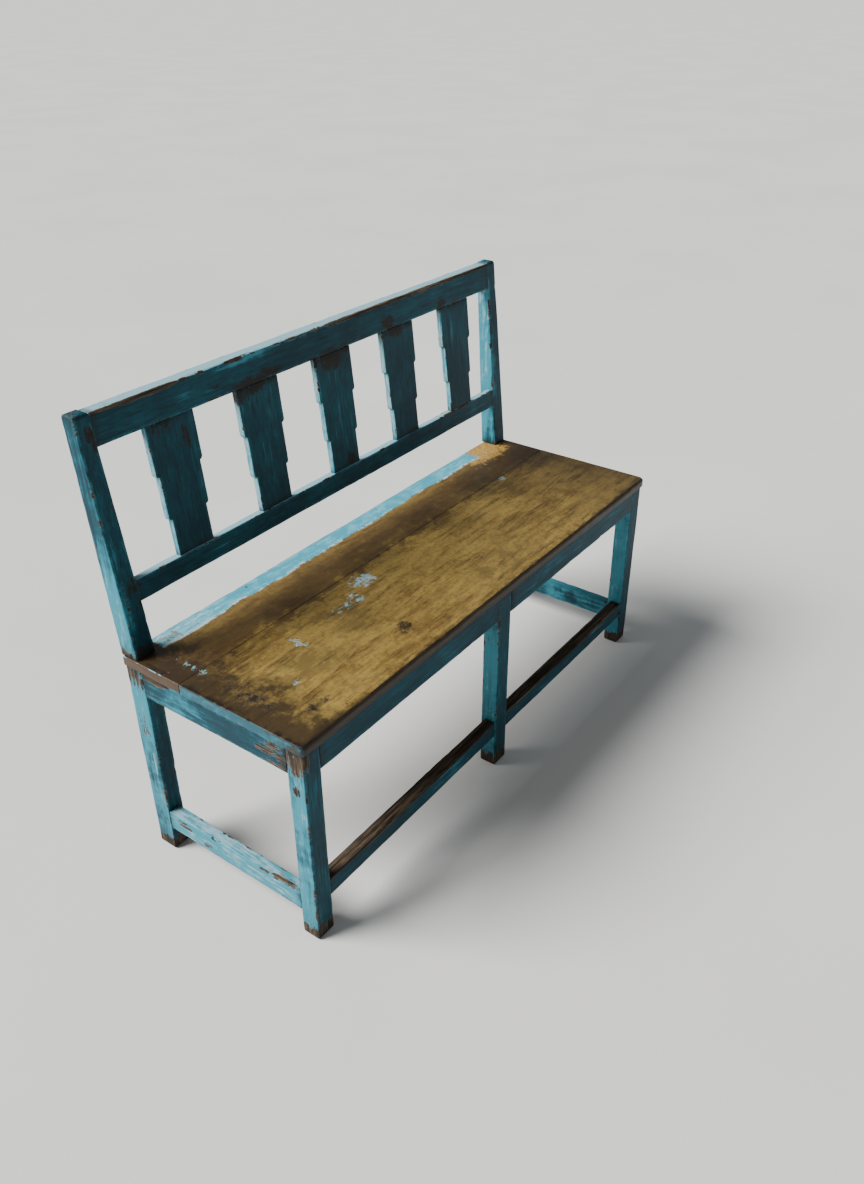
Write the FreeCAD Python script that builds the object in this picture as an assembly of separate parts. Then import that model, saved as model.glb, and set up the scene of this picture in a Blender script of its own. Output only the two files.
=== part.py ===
import FreeCAD, Part
import math
import os

# A painted wooden bench with a leaning back of five stepped splats.
# X runs along the seat, -Y is the front, Z is up. The origin is on the floor,
# under the middle of the whole bench. All sizes are in millimetres.

Vector = FreeCAD.Vector
os.makedirs("parts", exist_ok=True)

# Main sizes
seat_height = 450.0           # floor to the top of the seat boards
back_height = 889.0           # floor to the top of the back posts
frame_length = 1180.0         # over the outer faces of the end legs
frame_depth = 418.0           # over the front and rear faces of the legs

# Seat boards
seat_thickness = 20.0
seat_overhang_front = 6.0     # past the front faces of the legs
seat_overhang_rear = 1.0      # past the rear faces of the legs
seat_overhang_end = 2.0       # past the outer faces of the end legs
rear_board_width = 144.0      # the front board takes up the rest of the depth
board_gap = 0.5               # open line between the two boards
nosing_radius = 7.0           # rounded upper front edge
nosing_under_radius = 3.0     # eased lower front edge
seat_corner_radius = 9.0      # front corners, seen from above

# Legs, width along X and depth along Y
front_leg_width = 41.0
front_leg_depth = 37.0
middle_leg_width = 43.0
rear_leg_width = 35.0
rear_leg_depth = 43.0
foot_chamfer = 5.0

# Aprons under the seat
apron_height = 55.0
apron_thickness = 24.0

# Stretchers near the floor
front_stretcher_bottom = 80.0
front_stretcher_height = 39.0
front_stretcher_thickness = 26.0
front_stretcher_inset = 2.0   # behind the front faces of the legs
side_stretcher_bottom = 56.0
side_stretcher_height = 43.0
side_stretcher_thickness = 25.0
side_stretcher_inset = 1.0    # inside the outer faces of the legs

# Back posts, which taper in both directions and lean back
post_foot_width = 42.0
post_top_width = 31.0
post_foot_depth = 41.0
post_top_depth = 30.3
post_overhang_rear = 4.0      # past the rear edge of the seat
post_lean_run = 44.4          # how far the front face has gone back at the top
post_top_round = 6.0

# Back rails, measured along the leaning front face of the posts
top_rail_height = 56.9
top_rail_thickness = 29.0
top_rail_below_posts = 1.5    # level drop from the post tops
top_rail_round = 3.0          # both upper edges
lower_rail_height = 41.2
lower_rail_thickness = 18.0
lower_rail_lift = 101.5       # clear height above the seat

# Splats, each cut in three tiers that narrow downwards
splat_count = 5
splat_end_space = 133.0       # from a post's foot to the middle of the end splat
splat_row_shift = 4.0         # the row sits a little right of the middle
splat_thickness = 13.0
splat_setback = 1.0           # behind the front faces of the rails
splat_top_width = 105.0
splat_middle_width = 92.5
splat_foot_width = 80.0
splat_lower_share = 0.29      # height of the lowest tier, as a share of the splat
splat_upper_share = 0.627     # height of the two lower tiers together

# Mortise and tenon joints
tenon_thickness = 9.0
tenon_length = 20.0
tenon_shoulder = 6.0
apron_tenon_drop = 25.0       # apron tenons start this far below the leg tops
tenon_spacing = 3.0           # wood left between two tenons in one leg
post_tenon_width = 16.0
post_tenon_depth = 20.0
rail_tenon_length = 22.0
splat_tenon_thickness = 7.0
splat_tenon_length = 14.0
splat_tenon_shoulder = 8.0
tenon_clearance = 0.15

# Pegs and nails
peg_radius = 3.5
peg_length = 22.0
peg_clearance = 0.1
nail_head_radius = 3.2
nail_head_thickness = 1.2
nail_sink = 0.4               # head below the seat's top face
nail_shank_radius = 1.4
nail_point_length = 4.0
nail_bite = 22.0              # length below the seat boards
nail_clearance = 0.1
front_nail_shares = (-0.956, -0.858, -0.79, -0.424, -0.169, 0.207, 0.559, 0.907)
rear_nail_count = 6
nail_post_clearance = 45.0    # from a post's inner face to the first rear nail
board_edge_nail_inset = 40.0  # from a board's edge to the nails across its ends

# Places that follow from the sizes
seat_underside = seat_height - seat_thickness
back_rise = back_height - seat_height
overall_depth = (seat_overhang_front + frame_depth + seat_overhang_rear
                 + post_overhang_rear + post_lean_run + post_top_depth - post_foot_depth)
seat_front_y = -overall_depth / 2
leg_front_y = seat_front_y + seat_overhang_front
leg_rear_y = leg_front_y + frame_depth
seat_rear_y = leg_rear_y + seat_overhang_rear
board_joint_y = seat_rear_y - rear_board_width
front_leg_back_y = leg_front_y + front_leg_depth
rear_leg_front_y = leg_rear_y - rear_leg_depth
half_length = frame_length / 2
half_seat_length = half_length + seat_overhang_end
apron_bottom = seat_underside - apron_height
post_front_y = seat_rear_y + post_overhang_rear - post_foot_depth
lean_angle = math.degrees(math.atan2(post_lean_run, back_rise))
slope_length = math.hypot(post_lean_run, back_rise)


class Block:
    """A straight box of timber, kept as its ranges along X, Y and Z."""

    def __init__(self, x, y, z):
        self.x = x
        self.y = y
        self.z = z

    def solid(self, clearance=0.0):
        low = Vector(self.x[0] - clearance, self.y[0] - clearance, self.z[0] - clearance)
        size = [high - start + 2 * clearance for start, high in (self.x, self.y, self.z)]
        return Part.makeBox(size[0], size[1], size[2], low)

    def mirrored(self):
        """The same block on the other side of the bench."""
        return Block((-self.x[1], -self.x[0]), self.y, self.z)


def centred(middle, width):
    return (middle - width / 2, middle + width / 2)


def middle_of(span):
    return (span[0] + span[1]) / 2


def evenly_spread(reach, count):
    """Places along X from -reach to reach."""
    return [-reach + 2 * reach * index / (count - 1) for index in range(count)]


def mirrored_solid(shape):
    return shape.mirror(Vector(0, 0, 0), Vector(1, 0, 0))


def joined(shape, additions):
    return shape.fuse(additions).removeSplitter()


def cut_near(shape, tools):
    """Cut only the tools whose boxes reach the shape."""
    near = [tool for tool in tools if tool.BoundBox.intersect(shape.BoundBox)]
    return shape.cut(near) if near else shape


def save(node, shape):
    if not shape.isValid():
        raise RuntimeError(node + " is not a valid solid")
    shape.exportStep("parts/" + node + ".step")


# Legs as plain blocks, left side; the right side mirrors them
front_leg_left = Block((-half_length, -half_length + front_leg_width),
                       (leg_front_y, front_leg_back_y), (0, seat_underside))
rear_leg_left = Block((-half_length, -half_length + rear_leg_width),
                      (rear_leg_front_y, leg_rear_y), (0, seat_underside))
middle_leg = Block(centred(0, middle_leg_width), (leg_front_y, front_leg_back_y),
                   (0, seat_underside))

# Members between the legs, left half or whole
front_apron_left = Block((front_leg_left.x[1], middle_leg.x[0]),
                         (leg_front_y, leg_front_y + apron_thickness),
                         (apron_bottom, seat_underside))
rear_apron = Block((rear_leg_left.x[1], -rear_leg_left.x[1]),
                   (leg_rear_y - apron_thickness, leg_rear_y), (apron_bottom, seat_underside))
end_apron_left = Block((-half_length, -half_length + apron_thickness),
                       (front_leg_back_y, rear_leg_front_y), (apron_bottom, seat_underside))
front_stretcher_y = leg_front_y + front_stretcher_inset
front_stretcher_left = Block((front_leg_left.x[1], middle_leg.x[0]),
                             (front_stretcher_y, front_stretcher_y + front_stretcher_thickness),
                             (front_stretcher_bottom,
                              front_stretcher_bottom + front_stretcher_height))
side_stretcher_x = -half_length + side_stretcher_inset
side_stretcher_left = Block((side_stretcher_x, side_stretcher_x + side_stretcher_thickness),
                            (front_leg_back_y, rear_leg_front_y),
                            (side_stretcher_bottom,
                             side_stretcher_bottom + side_stretcher_height))


def tenon_heights(member, is_apron):
    """Aprons keep their tenons low, so that the post tenon fits above them."""
    top = seat_underside - apron_tenon_drop if is_apron else member.z[1] - tenon_shoulder
    return (member.z[0] + tenon_shoulder, top)


def tenons_along_x(member, is_apron, lengths):
    y = centred(middle_of(member.y), tenon_thickness)
    z = tenon_heights(member, is_apron)
    left = Block((member.x[0] - lengths[0], member.x[0]), y, z)
    right = Block((member.x[1], member.x[1] + lengths[1]), y, z)
    return [left, right]


def tenons_along_y(member, is_apron, lengths):
    x = centred(middle_of(member.x), tenon_thickness)
    z = tenon_heights(member, is_apron)
    front = Block(x, (member.y[0] - lengths[0], member.y[0]), z)
    rear = Block(x, (member.y[1], member.y[1] + lengths[1]), z)
    return [front, rear]


middle_tenon_length = (middle_leg_width - tenon_spacing) / 2
member_lengths = (tenon_length, middle_tenon_length)
rear_apron_tenon_length = min(tenon_length, rear_leg_width / 2 - tenon_spacing / 2)
front_apron_tenons = tenons_along_x(front_apron_left, True, member_lengths)
front_stretcher_tenons = tenons_along_x(front_stretcher_left, False, member_lengths)
rear_apron_tenons = tenons_along_x(rear_apron, True, (rear_apron_tenon_length,) * 2)
end_apron_tenons = tenons_along_y(end_apron_left, True, (tenon_length,) * 2)
side_stretcher_tenons = tenons_along_y(side_stretcher_left, False, (tenon_length,) * 2)
all_left_tenons = (front_apron_tenons + front_stretcher_tenons + rear_apron_tenons[:1]
                   + end_apron_tenons + side_stretcher_tenons)


def mirrored_blocks(blocks):
    return [block.mirrored() for block in blocks]


all_tenons = all_left_tenons + mirrored_blocks(all_left_tenons)
mortise_tools = [tenon.solid(tenon_clearance) for tenon in all_tenons]


def peg_from_front(tenon):
    """A peg through a leg and the tenon inside it, driven from the front face."""
    start = Vector(middle_of(tenon.x), leg_front_y, middle_of(tenon.z))
    return start, Vector(0, 1, 0)


def peg_from_rear(tenon):
    start = Vector(middle_of(tenon.x), leg_rear_y, middle_of(tenon.z))
    return start, Vector(0, -1, 0)


def peg_from_end(tenon):
    start = Vector(-half_length, middle_of(tenon.y), middle_of(tenon.z))
    return start, Vector(1, 0, 0)


def peg_solids(places, clearance=0.0):
    """One round peg for each place, on both sides of the bench."""
    pegs = []
    for start, direction in places:
        peg = Part.makeCylinder(peg_radius + clearance, peg_length, start, direction)
        pegs += [peg, mirrored_solid(peg)]
    return pegs


apron_peg_places = ([peg_from_front(tenon) for tenon in front_apron_tenons]
                    + [peg_from_end(tenon) for tenon in end_apron_tenons]
                    + [peg_from_rear(rear_apron_tenons[0])])
stretcher_peg_places = ([peg_from_front(tenon) for tenon in front_stretcher_tenons]
                        + [peg_from_end(tenon) for tenon in side_stretcher_tenons])
peg_hole_tools = peg_solids(apron_peg_places + stretcher_peg_places, peg_clearance)


def leaned(shape):
    """Turn a piece that is drawn upright about the seat line, to lean with the posts."""
    turned = shape.copy()
    turned.rotate(Vector(0, post_front_y, seat_height), Vector(1, 0, 0), -lean_angle)
    return turned


def prism(corners, direction):
    return Part.Face(Part.makePolygon(corners + corners[:1])).extrude(direction)


def post_body():
    """The left post from the seat up: its side view and its front view cut together."""
    outer = -half_length
    rear_y = post_front_y + post_foot_depth
    top_front_y = post_front_y + post_lean_run
    top_rear_y = top_front_y + post_top_depth
    side_view = prism([Vector(outer, post_front_y, seat_height),
                       Vector(outer, rear_y, seat_height),
                       Vector(outer, top_rear_y, back_height),
                       Vector(outer, top_front_y, back_height)],
                      Vector(post_foot_width, 0, 0))
    front_view = prism([Vector(outer, post_front_y, seat_height),
                        Vector(outer + post_foot_width, post_front_y, seat_height),
                        Vector(outer + post_top_width, post_front_y, back_height),
                        Vector(outer, post_front_y, back_height)],
                       Vector(0, top_rear_y - post_front_y, 0))
    body = side_view.common(front_view)
    top_edges = [edge for edge in body.Edges if edge.BoundBox.ZMin > back_height - post_top_round]
    return body.makeFillet(post_top_round, top_edges)


post_tenon = Block(centred(middle_of(rear_leg_left.x), post_tenon_width),
                   centred(middle_of(rear_leg_left.y), post_tenon_depth),
                   (seat_underside - apron_tenon_drop + tenon_spacing, seat_height))

# Rails and splats are drawn upright against the post front, then leaned back
lower_rail_bottom = seat_height + lower_rail_lift
lower_rail_top = lower_rail_bottom + lower_rail_height
top_rail_top = seat_height + slope_length * (1 - top_rail_below_posts / back_rise)
top_rail_bottom = top_rail_top - top_rail_height
rail_reach = half_length - post_top_width / 2


def upright_rail(bottom, height, thickness):
    return Block((-rail_reach, rail_reach), (post_front_y, post_front_y + thickness),
                 (bottom, bottom + height))


def level_topped(rail):
    """The top rail's beam: it leans with the posts, but its top is planed level."""
    level = back_height - top_rail_below_posts
    taller = Block(rail.x, rail.y, (rail.z[0], rail.z[1] + top_rail_thickness))
    space_above = Block(rail.x, (post_front_y, overall_depth / 2),
                        (level, level + 2 * top_rail_thickness))
    beam = leaned(taller.solid()).cut(space_above.solid()).Solids[0]
    upper_edges = [edge for edge in beam.Edges
                   if edge.BoundBox.ZMin > level - top_rail_round
                   and edge.BoundBox.XLength > top_rail_round]
    return beam.makeFillet(top_rail_round, upper_edges)


def inner_post_x(upright_z):
    """X of the left post's inner face at a height drawn upright."""
    share = (upright_z - seat_height) / slope_length
    return -half_length + post_foot_width + (post_top_width - post_foot_width) * share


def rail_tenon(rail):
    """The left tenon of a rail, which starts inside its slanted shoulder."""
    shoulder_x = inner_post_x(rail.z[1])
    return Block((shoulder_x - rail_tenon_length, shoulder_x + tenon_shoulder),
                 centred(middle_of(rail.y), tenon_thickness),
                 (rail.z[0] + tenon_shoulder, rail.z[1] - tenon_shoulder))


def splat_half_outline():
    """Right edge of a splat from foot to top, as (x, z) corners with a bow at each step."""
    foot = splat_foot_width / 2
    middle = splat_middle_width / 2
    top = splat_top_width / 2
    height = top_rail_bottom - lower_rail_top
    lower = lower_rail_top + splat_lower_share * height
    upper = lower_rail_top + splat_upper_share * height
    return [(foot, lower_rail_top), (foot, lower), (middle, lower + middle - foot),
            (middle, upper), (top, upper + top - middle), (top, top_rail_bottom)]


def quarter_round(start, end, centre):
    radius = start.distanceToPoint(centre)
    outward = (start + end) * 0.5 - centre
    outward.normalize()
    return Part.Arc(start, centre + outward * radius, end).toShape()


def splat_outline(middle_x, y):
    """Closed outline of one splat: each upper tier starts in a quarter round."""
    half = splat_half_outline()
    edges = []
    for side in (1, -1):
        points = [Vector(middle_x + side * x, y, z) for x, z in half]
        lower_centre = Vector(points[1].x, y, points[2].z)
        upper_centre = Vector(points[3].x, y, points[4].z)
        edges += [Part.makeLine(points[0], points[1]),
                  quarter_round(points[1], points[2], lower_centre),
                  Part.makeLine(points[2], points[3]),
                  quarter_round(points[3], points[4], upper_centre),
                  Part.makeLine(points[4], points[5])]
    for half_width, z in (half[0], half[-1]):
        edges.append(Part.makeLine(Vector(middle_x - half_width, y, z),
                                   Vector(middle_x + half_width, y, z)))
    return Part.Wire(Part.__sortEdges__(edges))


def splat_tenons(middle_x):
    """Thin tongues at both ends of a splat, which sit in slots in the rails."""
    y = centred(post_front_y + splat_setback + splat_thickness / 2, splat_tenon_thickness)
    foot_width = splat_foot_width - 2 * splat_tenon_shoulder
    top_width = splat_top_width - 2 * splat_tenon_shoulder
    foot = Block(centred(middle_x, foot_width), y,
                 (lower_rail_top - splat_tenon_length, lower_rail_top))
    top = Block(centred(middle_x, top_width), y,
                (top_rail_bottom, top_rail_bottom + splat_tenon_length))
    return [foot, top]


def splat_middles():
    reach = half_length - post_foot_width - splat_end_space
    return [splat_row_shift + place for place in evenly_spread(reach, splat_count)]


def upright_splat(middle_x):
    outline = splat_outline(middle_x, post_front_y + splat_setback)
    board = Part.Face(outline).extrude(Vector(0, splat_thickness, 0))
    return joined(board, [tenon.solid() for tenon in splat_tenons(middle_x)])


def back_peg_solids(rail_tenons, post, clearance=0.0):
    """Pegs from the front of the posts through the rail tenons, on both sides."""
    pegs = []
    for tenon in rail_tenons:
        inside_x = middle_of((tenon.x[0], tenon.x[1] - tenon_shoulder))
        end = Vector(inside_x, tenon.y[1] + tenon_spacing, middle_of(tenon.z))
        rod = Part.makeCylinder(peg_radius + clearance, post_foot_depth, end, Vector(0, -1, 0))
        peg = leaned(rod).common(post)
        pegs += [peg, mirrored_solid(peg)]
    return pegs


def build_back():
    """Posts, rails, splats and the pegs that hold the rails."""
    rails = {"back_top_rail": upright_rail(top_rail_bottom, top_rail_height, top_rail_thickness),
             "back_lower_rail": upright_rail(lower_rail_bottom, lower_rail_height,
                                             lower_rail_thickness)}
    body = post_body()
    left_tenons = [rail_tenon(rail) for rail in rails.values()]
    peg_holes = back_peg_solids(left_tenons, body, peg_clearance)
    slots = [leaned(tenon.solid(tenon_clearance))
             for middle_x in splat_middles() for tenon in splat_tenons(middle_x)]
    for node, rail in rails.items():
        tenon = rail_tenon(rail)
        beam = level_topped(rail) if node == "back_top_rail" else leaned(rail.solid())
        beam = beam.cut([body, mirrored_solid(body)])
        beam = joined(beam, [leaned(tenon.solid()), leaned(tenon.mirrored().solid())])
        save(node, cut_near(beam, slots + peg_holes))
    for index, middle_x in enumerate(splat_middles()):
        save("back_splat_%d" % (index + 1), leaned(upright_splat(middle_x)))
    mortises = [leaned(tenon.solid(tenon_clearance)) for tenon in left_tenons]
    post = cut_near(joined(body, [post_tenon.solid()]), mortises + peg_holes)
    save("back_post_left", post)
    save("back_post_right", mirrored_solid(post))
    save("back_pegs", Part.makeCompound(back_peg_solids(left_tenons, body)))


def nail_solid(x, y, clearance=0.0):
    """A cut nail with a round head, standing in the seat boards at x, y."""
    top = seat_height if clearance else seat_height - nail_sink
    head_base = seat_height - nail_sink - nail_head_thickness
    tip = seat_underside - nail_bite - clearance
    head = nail_head_radius + clearance
    shank = nail_shank_radius + clearance
    outline = [Vector(0, 0, tip), Vector(shank, 0, tip + nail_point_length),
               Vector(shank, 0, head_base), Vector(head, 0, head_base),
               Vector(head, 0, top), Vector(0, 0, top)]
    face = Part.Face(Part.makePolygon(outline + outline[:1]))
    nail = face.revolve(Vector(0, 0, 0), Vector(0, 0, 1), 360)
    nail.translate(Vector(x, y, 0))
    return nail


def nail_places():
    """Rows over the front and rear aprons, and pairs across both ends of each board."""
    front_row_y = middle_of(front_apron_left.y)
    rear_row_y = middle_of(rear_apron.y)
    rear_reach = half_length - post_foot_width - nail_post_clearance
    places = [(share * half_length, front_row_y) for share in front_nail_shares]
    places += [(x, rear_row_y) for x in evenly_spread(rear_reach, rear_nail_count)]
    end_x = -middle_of(end_apron_left.x)
    board_ends = ((front_leg_back_y, board_joint_y), (board_joint_y, post_front_y))
    for low, high in board_ends:
        for y in (low + board_edge_nail_inset, high - board_edge_nail_inset):
            places += [(-end_x, y), (end_x, y)]
    return places


nail_hole_tools = [nail_solid(x, y, nail_clearance) for x, y in nail_places()]


def seat_outline():
    """The whole seat seen from above, with its front corners rounded."""
    whole = Block((-half_seat_length, half_seat_length), (seat_front_y, seat_rear_y),
                  (seat_underside, seat_height)).solid()
    corners = [edge for edge in whole.Edges
               if edge.BoundBox.ZLength > seat_thickness / 2
               and edge.BoundBox.YMax < seat_front_y + seat_corner_radius]
    return whole.makeFillet(seat_corner_radius, corners)


def nosing_profile():
    """Section of the front board, with a rounded nose above and an eased edge below."""
    back = board_joint_y - board_gap / 2
    upper = seat_height - nosing_radius
    lower = seat_underside + nosing_under_radius
    x = -half_seat_length
    quarter = math.sqrt(0.5)
    top_start = Vector(x, seat_front_y + nosing_radius, seat_height)
    top_middle = Vector(x, seat_front_y + nosing_radius * (1 - quarter),
                        upper + nosing_radius * quarter)
    top_end = Vector(x, seat_front_y, upper)
    low_start = Vector(x, seat_front_y, lower)
    low_middle = Vector(x, seat_front_y + nosing_under_radius * (1 - quarter),
                        lower - nosing_under_radius * quarter)
    low_end = Vector(x, seat_front_y + nosing_under_radius, seat_underside)
    back_low = Vector(x, back, seat_underside)
    back_top = Vector(x, back, seat_height)
    edges = [Part.makeLine(back_top, top_start),
             Part.Arc(top_start, top_middle, top_end).toShape(),
             Part.makeLine(top_end, low_start),
             Part.Arc(low_start, low_middle, low_end).toShape(),
             Part.makeLine(low_end, back_low), Part.makeLine(back_low, back_top)]
    return Part.Face(Part.Wire(edges))


def build_seat():
    """The two seat boards, nailed down, with mortises for the post tenons."""
    length = Vector(2 * half_seat_length, 0, 0)
    front_board = nosing_profile().extrude(length).common(seat_outline())
    save("seat_board_front", cut_near(front_board, nail_hole_tools))
    rear_board = Block((-half_seat_length, half_seat_length),
                       (board_joint_y + board_gap / 2, seat_rear_y),
                       (seat_underside, seat_height)).solid()
    post_mortises = [block.solid(tenon_clearance)
                     for block in (post_tenon, post_tenon.mirrored())]
    rear_board = rear_board.cut(post_mortises)
    save("seat_board_rear", cut_near(rear_board, nail_hole_tools))
    save("seat_nails", Part.makeCompound([nail_solid(x, y) for x, y in nail_places()]))


def chamfered_leg(block):
    body = block.solid()
    foot_edges = [edge for edge in body.Edges if edge.BoundBox.ZMax < foot_chamfer]
    return body.makeChamfer(foot_chamfer, foot_edges)


def build_legs():
    """Five legs with their mortises, peg holes and nail holes."""
    post_mortises = [block.solid(tenon_clearance)
                     for block in (post_tenon, post_tenon.mirrored())]
    tools = mortise_tools + peg_hole_tools + nail_hole_tools + post_mortises
    legs = {"front_leg_left": front_leg_left, "front_leg_middle": middle_leg,
            "front_leg_right": front_leg_left.mirrored(), "rear_leg_left": rear_leg_left,
            "rear_leg_right": rear_leg_left.mirrored()}
    for node, block in legs.items():
        save(node, cut_near(chamfered_leg(block), tools))


def build_members():
    """Aprons and stretchers, each with a tenon at both ends."""
    right_front_apron_tenons = mirrored_blocks(front_apron_tenons)
    right_stretcher_tenons = mirrored_blocks(front_stretcher_tenons)
    members = {
        "front_apron_left": (front_apron_left, front_apron_tenons),
        "front_apron_right": (front_apron_left.mirrored(), right_front_apron_tenons),
        "rear_apron": (rear_apron, rear_apron_tenons),
        "end_apron_left": (end_apron_left, end_apron_tenons),
        "end_apron_right": (end_apron_left.mirrored(), mirrored_blocks(end_apron_tenons)),
        "front_stretcher_left": (front_stretcher_left, front_stretcher_tenons),
        "front_stretcher_right": (front_stretcher_left.mirrored(), right_stretcher_tenons),
        "side_stretcher_left": (side_stretcher_left, side_stretcher_tenons),
        "side_stretcher_right": (side_stretcher_left.mirrored(),
                                 mirrored_blocks(side_stretcher_tenons)),
    }
    for node, (block, tenons) in members.items():
        shape = joined(block.solid(), [tenon.solid() for tenon in tenons])
        save(node, cut_near(shape, peg_hole_tools + nail_hole_tools))


def build_pegs():
    save("apron_pegs", Part.makeCompound(peg_solids(apron_peg_places)))
    save("stretcher_pegs", Part.makeCompound(peg_solids(stretcher_peg_places)))


build_legs()
build_members()
build_pegs()
build_seat()
build_back()
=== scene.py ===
import math
from dataclasses import dataclass
from typing import Callable

import bmesh
import bpy
from bpy.props import FloatProperty, FloatVectorProperty, IntProperty, PointerProperty
from mathutils import Matrix, Vector, noise


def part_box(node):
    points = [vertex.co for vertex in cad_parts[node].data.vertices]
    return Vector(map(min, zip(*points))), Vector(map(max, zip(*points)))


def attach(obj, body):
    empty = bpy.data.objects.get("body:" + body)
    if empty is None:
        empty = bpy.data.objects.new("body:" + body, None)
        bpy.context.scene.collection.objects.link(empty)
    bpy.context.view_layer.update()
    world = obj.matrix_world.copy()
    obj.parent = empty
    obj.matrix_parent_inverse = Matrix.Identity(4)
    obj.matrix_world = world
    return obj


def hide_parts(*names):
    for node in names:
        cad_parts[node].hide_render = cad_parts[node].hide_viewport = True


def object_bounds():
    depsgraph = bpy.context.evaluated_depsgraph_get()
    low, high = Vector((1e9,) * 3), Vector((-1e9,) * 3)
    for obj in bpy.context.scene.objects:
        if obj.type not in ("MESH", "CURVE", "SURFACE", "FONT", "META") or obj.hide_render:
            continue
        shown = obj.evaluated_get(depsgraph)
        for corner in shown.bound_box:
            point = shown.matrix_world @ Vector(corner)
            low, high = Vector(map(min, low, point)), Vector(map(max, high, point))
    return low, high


bl_info = {
    "name": "Worn splat-back bench",
    "version": (1, 0, 0),
    "blender": (4, 5, 0),
    "location": "View3D > Sidebar > Bench",
    "description": "Dresses the packed bench in worn timber, old paint, pegs and nails",
    "category": "Object",
}

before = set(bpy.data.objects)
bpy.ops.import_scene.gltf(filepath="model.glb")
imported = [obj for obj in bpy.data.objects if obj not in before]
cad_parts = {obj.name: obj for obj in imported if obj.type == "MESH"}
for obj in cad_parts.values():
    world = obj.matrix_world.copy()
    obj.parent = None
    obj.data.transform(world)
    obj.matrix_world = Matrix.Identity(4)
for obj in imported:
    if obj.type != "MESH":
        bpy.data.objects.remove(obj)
cad_low, cad_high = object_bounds()

SLOT_PEG = "peg_wood"
SLOT_IRON = "old_iron"
X, Y, Z = Vector((1, 0, 0)), Vector((0, 1, 0)), Vector((0, 0, 1))

# Patches on the seat and stains on the back: place, reach and strength of each
PAINT_REMAINS = ((-0.548, 0.062, 0.014, 0.045, 0.55), (-0.383, -0.030, 0.014, 0.026, 0.8),
                 (-0.250, -0.020, 0.045, 0.018, 0.65), (-0.205, -0.014, 0.018, 0.026, 0.8),
                 (-0.150, 0.012, 0.034, 0.024, 1.0), (-0.470, -0.110, 0.012, 0.016, 0.45),
                 (0.395, 0.040, 0.016, 0.010, 0.8))
SCARS = ((-0.232, -0.150, 0.022, 0.026, 0.9), (-0.545, -0.080, 0.020, 0.080, 0.6),
         (-0.500, -0.175, 0.050, 0.020, 0.6))
JOINT_STAINS = ((-0.215, 0.000, 0.060, 0.020, 1.0), (-0.165, 0.012, 0.034, 0.014, 1.0),
                (-0.250, -0.012, 0.022, 0.018, 0.8), (0.000, -0.012, 0.055, 0.026, 1.0),
                (0.035, -0.004, 0.024, 0.016, 0.9), (0.185, 0.010, 0.026, 0.022, 1.0),
                (0.205, -0.008, 0.036, 0.018, 1.0), (0.245, -0.006, 0.024, 0.010, 0.7),
                (0.370, 0.008, 0.020, 0.020, 0.9), (0.410, 0.000, 0.040, 0.008, 0.6),
                (-0.385, -0.040, 0.016, 0.022, 0.75), (-0.435, -0.010, 0.030, 0.018, 0.6),
                (-0.300, 0.024, 0.010, 0.008, 0.7))
TORN_AT = 0.68  # level of a noise at which a patch's edge tears

# Mesh stations round a splat's step, as shares of the step's radius
STEP_SHARES = (-0.4, -0.02, 0.0, 0.03, 0.12, 0.3, 0.6, 1.0, 1.4)

BENCH_MIDDLE = Vector((0.0, 0.0, 0.45))
KEY_PLACE = Vector((-2.2, 2.1, 3.3))
FILL_PLACE = Vector((-1.2, -2.8, 2.4))
SKY_COLOUR = (0.86, 0.93, 1.0)
FLOOR_REACH = 200.0


# Measures taken from the frame

def node_points(node):
    return [vertex.co.copy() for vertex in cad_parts[node].data.vertices]


def extents(points, axis):
    values = [point.dot(axis) for point in points]
    return min(values), max(values)


def band(node, low, high):
    """X and Y extents of a node's points between two heights."""
    points = [point for point in node_points(node) if low <= point.z <= high]
    return extents(points, X), extents(points, Y)


seat_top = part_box("seat_board_front")[1].z
post_foot_x, post_foot_y = band("back_post_left", seat_top - 1e-4, seat_top + 1e-4)
post_crown = 0.010
crown_points = [point for point in node_points("back_post_left")
                if point.z > cad_high.z - post_crown]
post_head_x, post_head_y = extents(crown_points, X), extents(crown_points, Y)
post_head_z = extents(crown_points, Z)[0]
lean = math.atan2(post_head_y[0] - post_foot_y[0], post_head_z - seat_top)
UP_BACK = Vector((0, math.sin(lean), math.cos(lean)))
REARWARD = Vector((0, math.cos(lean), -math.sin(lean)))
back_foot = Vector((0, post_foot_y[0], seat_top))


def in_back(node):
    """A node's extents along X, up the leaning back, and behind its front plane."""
    points = [point - back_foot for point in node_points(node)]
    return extents(points, X), extents(points, UP_BACK), extents(points, REARWARD)


# Sizes and colours that a user would change

def size(name, description, default):
    return FloatProperty(name=name, description=description, default=default,
                         subtype="DISTANCE", unit="LENGTH", min=0.0, precision=5)


def share(name, description, default):
    return FloatProperty(name=name, description=description, default=default,
                         subtype="FACTOR", min=0.0, max=1.0)


def colour(name, description, default):
    return FloatVectorProperty(name=name, description=description, default=default,
                               subtype="COLOR", size=3, min=0.0, max=1.0)


def angle(name, description, default, **more):
    return FloatProperty(name=name, description=description, default=default,
                         subtype="ANGLE", **more)


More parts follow.
